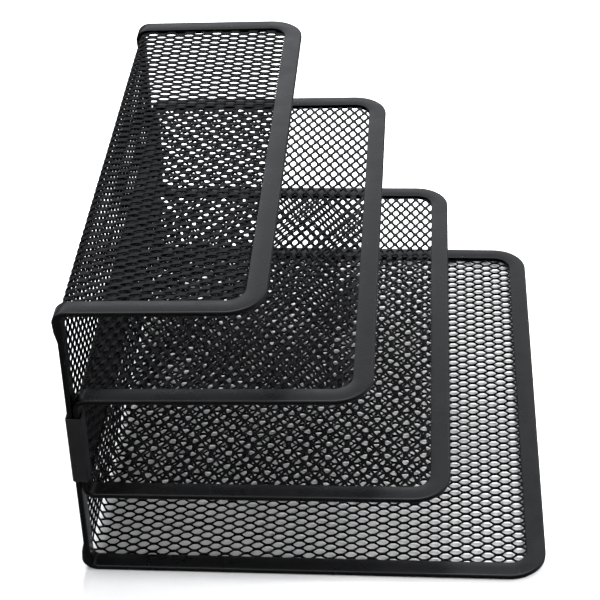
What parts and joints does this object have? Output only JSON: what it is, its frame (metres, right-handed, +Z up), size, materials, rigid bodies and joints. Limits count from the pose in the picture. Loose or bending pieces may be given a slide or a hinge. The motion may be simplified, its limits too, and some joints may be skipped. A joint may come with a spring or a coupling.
{
  "type": "desktop file sorter",
  "caption": "Stepped desktop file sorter of folded steel mesh with channel rims, lying on its longest panel, its slots open at both ends.",
  "frame": {"origin": "centre of the footprint, at the level of the surface that the longest panel lies on", "axes": "+X from the folded back to the panels' free edges, +Y from the front end to the rear end, +Z up"},
  "size_m": [0.2426, 0.3068, 0.1684],
  "materials": {
    "black_mesh": "satin powder coat",
    "black_rim": "satin powder coat"
  },
  "bodies": {
    "root": {"outer_mesh": "black_mesh", "outer_rim": "black_rim", "inner_mesh": "black_mesh", "inner_rim": "black_rim", "front_clip": "black_rim", "rear_clip": "black_rim"}
  },
  "joints": []
}
